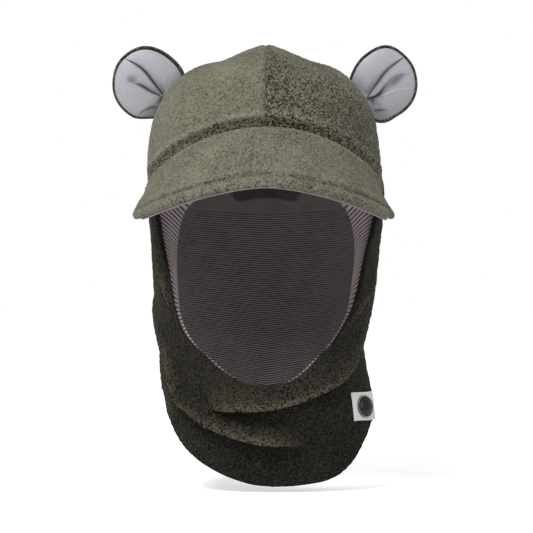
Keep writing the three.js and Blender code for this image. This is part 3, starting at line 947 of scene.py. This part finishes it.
def even_turns(columns):
    """Turns round the cuff that are evenly spaced along the middle of its band."""
    turn = np.linspace(0, 1, 4001)
    root, inner = cuff_ends(turn)
    middle = mix(root, inner, 0.7)
    run = np.concatenate([[0], np.cumsum(np.linalg.norm(np.diff(middle, axis=0), axis=-1))])
    return np.interp(np.arange(columns) / columns * run[-1], run, turn)


def cuff_frame(turn):
    """The cuff's outer edge, the way across it, its width, and the way back into the hood, by turn."""
    root, inner = cuff_ends(turn)
    across = (inner - root)[None]
    width = np.linalg.norm(inner - root, axis=-1)[None, :]
    base = root[None] + across * np.linspace(0, 1, 5)[:, None, None]
    back = surface_normals(base, False, True)[2]
    back = np.where(back[:, 1:2] < 0, -back, back)
    return root[None], across, width, back[None]


def face_cuff():
    columns = CUFF_RIBS * 8
    rows, split = section(0.3, CUFF_ROLL, 13, 3, 4)
    root, across, width, back = cuff_frame(even_turns(columns))
    v, depth = row_shares(rows, width)
    puff = 0.13 * np.minimum(width, 16) * np.sin(math.pi * np.clip(v, 0, 1)) ** 0.8
    points = root + across * v[..., None] + back * (depth - puff)[..., None]
    middle = np.mean(points, axis=0, keepdims=True)
    normal = outward(points, surface_normals(points, True, True), middle)
    wale = np.abs(np.sin(math.pi * CUFF_RIBS * np.arange(columns) / columns))[None, :] ** 0.65
    stagger = 1 + 0.12 * noise(points, 6, 51)
    points = points + normal * (0.8 * wale * stagger)[..., None]
    rib = wale + 0 * points[..., 0]
    return sheet_object("face_cuff_knit", points, split, rib_knit, {"rib": rib}, ring=True)


def face_elastic():
    """The elastic lies behind the inner half of the cuff, and is finely waved."""
    columns = 420
    rows, split = section(0.25, 0.25, 8, 4, 3)
    root, across, width, back = cuff_frame(even_turns(columns))
    v, depth = row_shares(rows, width * 0.35)
    v = 0.55 + 0.33 * v
    wave = 0.12 * np.sin(np.arange(columns) * 2 * math.pi / 4)[None, :]
    points = root + across * v[..., None] + back * (2.0 + depth + wave)[..., None]
    return sheet_object("face_elastic_tape", points, split, elastic, ring=True)


# ---------------------------------------------------------------- peak

BRIM_WAIST = 0.06  # how far, of its width, the peak is drawn in between its root and its flared tip
BRIM_STITCH = 7.2  # the row of stitching round the peak is this far in from its edge
BRIM_ROOT = 0.13  # of the cloth before the sheet's own root, which runs in to the crown seam
BRIM_EDGE_LENGTH = 250  # round the peak's outer edge


def brim_sheet(t, w):
    """t runs from -1 to 1 across the peak, w from the root to the outer edge."""
    angle = BRIM_END_ANGLE * t
    gap = mix(BRIM_GAP_FRONT, BRIM_GAP_SIDE, t * t)
    seam = seam_height(np.abs(angle))
    root = body_point(angle, seam, -gap)
    inner = body_point(angle, seam, 2.0)
    sweep = math.pi / 2 * t
    droop = BRIM_DROOP * np.abs(np.sin(sweep)) ** 1.6
    x = BRIM_HALF_SPAN * np.sin(sweep)
    y = BRIM_CENTRE_Y - BRIM_REACH * np.cos(sweep)
    edge = np.stack(np.broadcast_arrays(x, y, BRIM_EDGE_HEIGHT - droop), -1)
    length = mix(1, BRIM_TIP_SHARE, np.abs(t) ** 8)
    out = np.maximum(w, 0)
    points = root + (edge - root) * (out * length)[..., None]
    points[..., 2] += BRIM_ARCH * 4 * out * (1 - out) * np.cos(sweep)
    uneven = 0.05 * ease(0, 1, t) * hump(out, 0.6, 0.55)
    points[..., 0] *= 1 - BRIM_WAIST * hump(out, 0.25, 0.4) - uneven
    inward = ease(0, BRIM_ROOT, -w)
    return mix(points, inner, inward[..., None])


def brim_layer(name, material, top, thickness, from_share, edge_in, rows, columns, relief, pile):
    """One layer of the peak: top is the height of its upper face over the sheet."""
    roll = thickness / 2
    section_rows, split = section(roll, roll, rows, 6)
    t = (rounded_columns(columns, 2.0, BRIM_EDGE_LENGTH) * 2 - 1)[None, :] * (1 - edge_in / 110)
    share = np.linspace(from_share, 1, 41)[:, None]
    line = brim_sheet(t + 0 * share, share + 0 * t)
    length = np.sum(np.linalg.norm(np.diff(line, axis=0), axis=-1), axis=0)[None, :]
    v, depth = row_shares(section_rows, length - edge_in)
    w = from_share + (1 - from_share) * v * (1 - edge_in / length)
    t = t + 0 * w
    points = brim_sheet(t, w)
    step = 2e-3
    across = brim_sheet(t + step, w) - brim_sheet(t - step, w)
    down = brim_sheet(t, np.maximum(w, 0.02) + step) - brim_sheet(t, np.maximum(w, 0.02) - step)
    up = np.cross(down, across)
    up = up / np.linalg.norm(up, axis=-1, keepdims=True)
    up = up * np.sign(np.mean(up[..., 2]))
    to_edge = (1 - v) * (length - edge_in)
    to_side = (1 - np.abs(t / np.max(np.abs(t)))) * BRIM_EDGE_LENGTH / 2
    thin = np.sqrt(np.clip(1 - (1 - np.minimum(to_side, 2) / 2) ** 2, 0, 1))
    near_root = ease(0, 0.14, w)
    face = np.where(depth < roll, 1, 0)
    shaped = relief(to_edge, to_side, points) * face
    lift = top - roll + (roll - depth + shaped) * thin * mix(0.35, 1, near_root)
    lumps = fleece_pile(points, 2.3, 61)
    weight = np.clip(1 - depth / roll, 0, 1) if pile else 0
    points = points + up * (lift + lumps * pile * weight * thin)[..., None]
    near = np.minimum(to_edge, to_side)
    # Painted shade: pile is lowered along the stitched groove, darkening it.
    stitched = hump(near, BRIM_STITCH, 1.2)
    ruffled = 0.2 * hump(near, 1.5, 3.5)
    # Painted highlight on the puffed cloth by the edge and just inside the stitching.
    crest_highlight = (0.3 * hump(to_edge, 3, 3) + 0.25 * hump(to_edge, BRIM_STITCH + 2.4, 1.8)) * face
    attributes = {"pile": lumps - 1.3 * stitched, "crest_highlight": crest_highlight, "nap": BRIM_NAP + ruffled}
    return sheet_object(name, points, split, material, attributes)


def no_relief(to_edge, to_side, points):
    return 0 * to_edge


def brim_relief(to_edge, to_side, points):
    """A stitched groove round the edge, and the cloth puffed up on both sides of it."""
    near = np.minimum(to_edge, to_side)
    groove = -0.8 * hump(near, BRIM_STITCH, 1.2)
    puff = 0.7 * hump(near, 3.4, 2.4) + 0.6 * hump(near, BRIM_STITCH + 3.4, 2.6)
    pull = 0.25 * noise(points, 6, 71) * hump(near, BRIM_STITCH, 5)
    return groove + puff + pull + 0.5 * noise(points, 24, 72)


# ---------------------------------------------------------------- ears

EAR_ANGLE = math.radians(EAR_TILT)
EAR_FREE = 1.5  # the ear's outline is round down to this far out from its root line
EAR_SUNK = 4.0  # and the rest is drawn together in this much cloth
# The two ears were sewn a little differently. width and height scale the outline, and bulge is how much
# further out its upper corner lies; upper and lower are how wide it is at the two ends of its root; satin and
# fleece are how far up each cloth's middle lies. A pleat runs from the root to the rim, as (along the root,
# out from it), with its step and how much of it has a dark painted shadow along its line. The hollow is where
# the satin falls in, with painted shade in it: its middle, and its reach both ways.
EARS = {
    "right": {
        "width": 0.98, "height": 1.06, "bulge": 0.055, "upper": 1.02, "lower": 0.82,
        "satin": -1.9, "fleece": -1.1,
        "pleats": [
            ([(-1.2, 1), (2, 14), (4.8, 28), (3, 42.6)], 2.2, 1.3),
            ([(-1.6, 2), (-4, 13), (-5.6, 22.7), (-10.3, 30.6)], 1.8, 0.85),
            ([(-8, 0), (-13, 5.5), (-19, 8.4), (-23, 9)], -0.8, 0.5),
        ],
        "hollow": (-6.5, 28, 3, 3.5),
    },
    "left": {
        "width": 0.935, "height": 1.0, "bulge": 0.127, "upper": 0.93, "lower": 1.15,
        "satin": -1.0, "fleece": -0.9,
        "pleats": [
            ([(-1.2, 1), (2.8, 15), (5.3, 26.5), (5.1, 41)], 2.3, 1.3),
            ([(-2.2, 1), (-4.4, 9.5), (-2.6, 18), (-1.8, 27), (-8, 39)], -1.4, 0.5),
            ([(-11.5, 0), (-14, 4), (-17.5, 8.5)], -0.8, 0.7),
            ([(-3, 2), (-9.4, 20), (-14, 29), (-18, 37)], 0.5, 0),
        ],
        "hollow": (-5, 26, 3, 7),
    },
}


def ear_frame(sign):
    """Origin, and the directions along the root (upwards), away from the head, and to the front."""
    origin = np.array([sign * EAR_ROOT[0], EAR_ROOT[1], EAR_ROOT[2]])
    out = np.array([sign * math.cos(EAR_ANGLE), 0, math.sin(EAR_ANGLE)])
    along = np.array([-sign * math.sin(EAR_ANGLE), 0, math.cos(EAR_ANGLE)])
    return origin, along, out, np.array([0, -1.0, 0])


def ear_outline(ear, p, q, radius, rise):
    """A place in the ear's round outline for a place in the unit disc; it ends in the crown's cloth."""
    turn = np.degrees(np.arctan2(q, p))
    radius = radius * (1 + ear["bulge"] * hump(turn, 42, 26) - 0.03 * hump(turn, 120, 25))
    x = p * radius * ear["width"] + rise
    y = EAR_CHORD + q * radius * ear["height"]
    lower = mix(ear["lower"], 1, ease(-4, 12, y))
    upper = mix(ear["upper"], 1, ease(0, 20, y))
    x = x * mix(lower, upper, ease(-6, 6, x))
    free = EAR_FREE - 0.016 * np.minimum(x, 0) ** 2
    sunk = EAR_SUNK * (1 - np.exp(-np.maximum(free - y, 0) / EAR_SUNK))
    return x, np.where(y < free, free - sunk, y)


def ear_disc(cells):
    """Square grid places mapped to the unit disc: p, q and the distance from the middle."""
    a = np.linspace(-1, 1, cells + 1)
    a = np.sign(a) * (1 - (1 - np.abs(a)) ** 1.2)
    a, b = np.meshgrid(a, a, indexing="ij")
    p = a * np.sqrt(1 - b * b / 2)
    q = b * np.sqrt(1 - a * a / 2)
    return p, q, np.minimum(np.hypot(p, q), 1)


def ear_shell(side, sign, cells, radius, rise, front, back):
    """A closed pad from its two faces, which meet on the outline: front and back give their heights."""
    origin, along, out, ahead = ear_frame(sign)
    p, q, r = ear_disc(cells)
    x, y = ear_outline(EARS[side], p, q, radius, rise)
    rim = (np.arange(cells + 1) % cells) == 0
    on_rim = rim[:, None] | rim[None, :]
    front_height = front(x, y, r)
    back_height = np.where(on_rim, front_height, back(x, y, r))

    def placed(height):
        return origin + x[..., None] * along + y[..., None] * out + height[..., None] * ahead

    size = cells + 1
    index = np.arange(size * size).reshape(size, size)
    under = np.where(on_rim, index, index + size * size)
    faces = [quads_of(index), quads_of(under)[:, ::-1]]
    points = np.concatenate([placed(front_height).reshape(-1, 3), placed(back_height).reshape(-1, 3)])
    used = np.zeros(len(points), bool)
    used[np.concatenate([part.ravel() for part in faces])] = True
    renumber = np.cumsum(used) - 1
    return points[used], [renumber[part] for part in faces]


def ear_pieces(side, sign):
    """The satin front, the fleece back that wraps round as a rim, and the filling between them."""
    ear = EARS[side]

    def pleated(x, y):
        """Relief of the pleats, and how far painted shade darkens the satin: along each pleat's line, beside
        it near the root, in the hollow and along the root.
        """
        hollow_x, hollow_y, reach_x, reach_y = ear["hollow"]
        hollow = hump(x, hollow_x, reach_x) * hump(y, hollow_y, reach_y)
        total = -1.2 * hollow
        # Painted shade: the satin is darkened in the hollow and along the root.
        shade = np.maximum(0.5 * hollow, 0.35 * ease(11, 1, y))
        for line, step, dark in ear["pleats"]:
            signed, share, _ = beside_line(x, y, *smooth_line(line, 20))
            strength = step * ease(0, 0.08, share) * mix(1, 0.45, share) * ease(1, 0.8, share)
            over = np.tanh(signed / 0.4) * np.exp(-np.abs(signed) / 5.5)
            total = total + strength * over
            width = 1.35 * np.sqrt(np.sin(math.pi * np.clip(share, 0.02, 0.98)))
            # Painted shadow: a dark line along each pleat, and painted shade beside it near the root.
            line_shade = min(1, abs(step) / 1.3) * mix(1, 0.2, ease(dark - 0.25, dark + 0.15, share))
            shade = np.maximum(shade, line_shade * hump(signed, 0, width))
            beside = hump(signed + 2 * np.sign(step), 0, 2.6) * ease(0, 0.1, share) * ease(0.6, 0, share)
            shade = np.maximum(shade, 0.4 * min(1, abs(step)) * beside)
        return total, shade

    def satin_front(x, y, r):
        dome = 4.6 * (1 - r**2.6)
        places = np.stack([x, y, 0 * x], -1)
        pucker = 0.8 * noise(places, 7, 81) * ease(0.5, 1, r) * (1 - r)
        return 1.3 + dome + pleated(x, y)[0] * (1 - r**7) + pucker

    def satin_back(x, y, r):
        return satin_front(x, y, r) - 0.9 * (1 - r**8)

    def fleece_back(x, y, r):
        places = np.stack([x, y, 0 * x + 50], -1)
        return -1.0 - 5.2 * (1 - r**3) ** 0.7 + 0.3 * fleece_pile(places, 2.9, 91)

    def fleece_front(x, y, r):
        rim = ease(0.86, 0.95, r)
        over = 2.6 * np.sqrt(np.clip(1 - ((r - 0.955) / 0.045) ** 2, 0, 1))
        return mix(fleece_back(x, y, r) + 1.6, -0.6 + over, rim)

    def filling_front(x, y, r):
        return 0.2 + 0.9 * (1 - r**2.6)

    def filling_back(x, y, r):
        return 0.2 - 3.2 * (1 - r**2.6)

    made = []
    for name, cells, radius, rise, front, back, material in (
        ("front_satin", 130, EAR_RADIUS - 1.4, ear["satin"], satin_front, satin_back, ear_satin),
        ("back_fleece", 100, EAR_RADIUS + 0.7, ear["fleece"], fleece_front, fleece_back, crown_fleece),
        ("filling", 40, EAR_RADIUS - 2.8, -1.0, filling_front, filling_back, wadding),
    ):
        full = f"ear_{side}_{name}"
        points, faces = ear_shell(side, sign, cells, radius, rise, front, back)
        lumps = fleece_pile(points, 2.4, 92)
        origin, along, out, ahead = ear_frame(sign)
        shade = pleated((points - origin) @ along, (points - origin) @ out)[1]
        rim = ease(-1.5, 0.5, (points - origin) @ ahead)
        # crease carries the painted shade of the pleats; pile darkens the fleece's gaps between curls as
        # painted shade, and the whole rim, the fleece that wraps round to the front, is made darker still.
        attributes = {"pile": lumps - 2.2 * rim, "nap": EAR_NAP + 0 * lumps, "crease": shade}
        made.append(make_object(full, points, faces, material, attributes))
    return made


# ---------------------------------------------------------------- labels

LABEL_ANGLES = (51, 72)
LABEL_HEIGHTS = (-256.5, -237)
LABEL_LIFT = 2.4
BADGE_PLACE = (62, -247)
BADGE_RADIUS = 7.7


def label_surface(angle, height, proud):
    """A place on the label, which follows the cloth under it and lifts a little at its free edge."""
    out, turn, rise, _ = folded(angle, height)
    free = ease(58, 74, angle)
    return body_point(angle + turn, height + rise, -out - proud - LABEL_LIFT * free)


def side_label():
    rows, split = section(0.35, 0.35, 40, 8, 3)
    u = rounded_columns(60, 0.35, 27, 3)[None, :]
    v, depth = row_shares(rows, 19.0 + 0 * u)
    corner = 0.35 * np.sqrt(np.clip(1 - (1 - np.minimum(np.minimum(u, 1 - u) * 27, 0.35) / 0.35) ** 2, 0, 1))
    proud = 0.75 + np.clip(0.35 - depth, -corner, corner)
    angle = mix(*LABEL_ANGLES, u) + 0 * v
    height = mix(LABEL_HEIGHTS[1], LABEL_HEIGHTS[0], v) + 0.35 * np.sin(5 * u + 1) + 0.8 * (u - 0.5)
    points = label_surface(angle, height, proud)
    points[..., 1] += 0.12 * noise(points, 5, 101)
    return sheet_object("side_label_cloth", points, split, label_cloth)


def label_badge():
    """A domed disc in a thin raised rim. Its profile is (share of the radius, height)."""
    profile = [
        (0.05, 2.6), (0.25, 2.52), (0.5, 2.24), (0.68, 1.82), (0.8, 1.36), (0.86, 1.0), (0.88, 0.86),
        (0.9, 1.0), (0.93, 1.12), (0.965, 1.12), (0.99, 0.98), (1.0, 0.75), (1.0, 0.1),
        (0.5, 0.05), (0.05, 0.05),
    ]
    sides = 96
    turn = np.linspace(0, 2 * math.pi, sides, endpoint=False)[None, :]
    radius, rise = (np.array(values)[:, None] for values in zip(*profile))

    def place(angle, height):
        return label_surface(np.array([angle]), np.array([height]), 1.1)[0]

    angle, height = BADGE_PLACE
    centre = place(angle, height)
    right = place(angle + 1, height) - centre
    right = right / np.linalg.norm(right)
    up = place(angle, height + 1) - centre
    up = up - right * np.dot(up, right)
    up = up / np.linalg.norm(up)
    out = np.cross(right, up)
    if np.dot(out, centre - np.array([0, 0, centre[2]])) < 0:
        out = -out
    flat = BADGE_RADIUS * radius
    points = (
        centre
        + (flat * np.cos(turn))[..., None] * right
        + (flat * np.sin(turn))[..., None] * up
        + (rise + 0 * turn)[..., None] * out
    )
    ring = (hump(radius, 0.955, 0.03) > 0.4) * 1.0 + 0 * turn
    rows = len(profile)
    index = closed_columns(np.arange(rows * sides).reshape(rows, sides))
    hubs = np.array([centre + out * profile[0][1], centre + out * profile[-1][1]])
    top = np.stack([np.full(sides, rows * sides), index[0, :-1], index[0, 1:]], -1)
    bottom = np.stack([np.full(sides, rows * sides + 1), index[-1, 1:], index[-1, :-1]], -1)
    points = np.concatenate([points.reshape(-1, 3), hubs])
    ring = np.concatenate([ring.ravel(), [0, 0]])
    faces = [quads_of(index), top, bottom]
    return make_object("label_badge_dome", points, faces, badge_black, {"ring": ring})


def care_label():
    """A narrow tape that hangs inside the side seam, bowed a little."""
    low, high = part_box("care_label")
    low, high = np.array(low) * 1000, np.array(high) * 1000
    rows, split = section(0.25, 0.25, 30, 8, 3)
    u = np.linspace(0, 1, 25)[None, :]
    v, depth = row_shares(rows, high[2] - low[2] + 0 * u)
    bow = 1.6 * np.sin(math.pi * v) * v + 0.5 * np.sin(math.pi * u)
    x = high[0] - depth - bow
    y = mix(low[1], high[1], u) + 0 * v
    z = mix(high[2], low[2], v) + 0 * u
    points = np.stack(np.broadcast_arrays(x, y, z), -1)
    return sheet_object("care_label_tape", points, split, label_cloth)


# ---------------------------------------------------------------- assembly


def attach(piece, body, node):
    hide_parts(node)
    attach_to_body(piece, body)


for side, sign in (("left", 1), ("right", -1)):
    crown = crown_piece(side, sign)
    attach(crown, "hood", f"crown_{side}")
    lining = crown_lining(side, sign)
    attach(lining, "hood", f"lining_crown_{side}")
    satin, back, filling = ear_pieces(side, sign)
    for piece, node, slot in (
        (satin, f"ear_{side}_front", "ear_satin"),
        (back, f"ear_{side}_back", "crown_fleece"),
        (filling, f"ear_{side}_wadding", "wadding"),
    ):
        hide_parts(node)
        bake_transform(piece)

for piece, node, slot, flat, area in (
    (hood_front(), "hood_front", "hood_fleece", (0.34, 0.19), 0.03),
    (hood_back(), "hood_back", "hood_fleece", (0.27, 0.17), 0.041),
    (lining_front(), "lining_front", "rib_knit", (0.33, 0.17), 0.026),
    (lining_back(), "lining_back", "rib_knit", (0.26, 0.15), 0.036),
):
    attach(piece, "hood", node)
cuff = face_cuff()
attach(cuff, "hood", "face_cuff")
attach(face_elastic(), "hood", "face_elastic")
label = side_label()
attach(label, "hood", "side_label")
badge = label_badge()
attach(badge, "hood", "label_badge")
tape = care_label()
attach(tape, "hood", "care_label")

brim_top = brim_layer("brim_top_fleece", brim_fleece, 2.9, 3.4, -BRIM_ROOT, 0, 92, 330, brim_relief, 0.3)
brim_inner = brim_layer("brim_stiffener_sheet", stiffener, -0.8, 1.2, 0.15, 4, 20, 60, no_relief, 0)
brim_under = brim_layer(
    "brim_under_lining", brim_lining, -2.6, 1.0, -BRIM_ROOT * 0.6, 1.1, 40, 160, no_relief, 0
)
for piece, node, slot, flat, area in (
    (brim_top, "brim_upper", "crown_fleece", (0.2, 0.105), 0.0145),
    (brim_inner, "brim_stiffener", "stiffener", (0.185, 0.09), 0.0095),
    (brim_under, "brim_lower", "brim_lining", (0.195, 0.1), 0.0123),
):
    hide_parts(node)
    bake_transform(piece)

# ---------------------------------------------------------------- floor, light and camera

scene = bpy.context.scene


def area_light(name, place, target, size, watts):
    light = bpy.data.lights.new(name, "AREA")
    light.size = size
    light.energy = watts
    lamp = bpy.data.objects.new(name, light)
    scene.collection.objects.link(lamp)
    lamp.location = place
    direction = np.array(target) - np.array(place)
    lamp.rotation_euler = (
        math.atan2(math.hypot(direction[0], direction[1]), -direction[2]),
        0,
        math.atan2(-direction[0], direction[1]),
    )


FLOOR_HEIGHT = -0.305
FLOOR_SIZE = 6.0
floor_mesh = bpy.data.meshes.new("floor")
corners = [(x * FLOOR_SIZE, y * FLOOR_SIZE, FLOOR_HEIGHT) for x, y in ((-1, -1), (1, -1), (1, 1), (-1, 1))]
floor_mesh.from_pydata(corners, [], [(0, 1, 2, 3)])
paper = Finish("pale floor", Roughness=0.9)
grain = paper.noise(2.0, 3.0)
paper.colour(paper.ramp(grain, [(0.3, (0.9, 0.9, 0.9)), (0.7, (0.94, 0.94, 0.94))]))
seen = paper.node("ShaderNodeLightPath").outputs["Is Camera Ray"]
glow = paper.shader.inputs["Emission Strength"]
paper.shader.inputs["Emission Color"].default_value = (1, 1, 1, 1)
paper.tree.links.new(paper.scaled(seen, 0.54, 0), glow)
floor_mesh.materials.append(paper.material)
floor = bpy.data.objects.new("floor", floor_mesh)
scene.collection.objects.link(floor)

world = bpy.data.worlds.new("studio")
scene.world = world
world.use_nodes = True
sky = world.node_tree.nodes["Background"]
sky.inputs["Color"].default_value = (1, 1, 1, 1)
seen = world.node_tree.nodes.new("ShaderNodeLightPath")
strength = world.node_tree.nodes.new("ShaderNodeMapRange")
strength.inputs["To Min"].default_value = 0.5
strength.inputs["To Max"].default_value = 1.0
world.node_tree.links.new(seen.outputs["Is Camera Ray"], strength.inputs["Value"])
world.node_tree.links.new(strength.outputs["Result"], sky.inputs["Strength"])
area_light("key light", (-0.8, -1.0, 1.4), (0, 0, -0.12), 0.8, 32)
area_light("fill light", (1.4, -1.2, 0.5), (0, 0, -0.15), 1.2, 5)

camera_data = bpy.data.cameras.new("camera")
camera_data.lens = 150
camera_data.sensor_width = 36
camera = bpy.data.objects.new("camera", camera_data)
scene.collection.objects.link(camera)
camera.location = (0.0004, -1.6, -0.150)
camera.rotation_euler = (math.pi / 2, 0, 0)
scene.camera = camera
scene.view_settings.view_transform = "Standard"
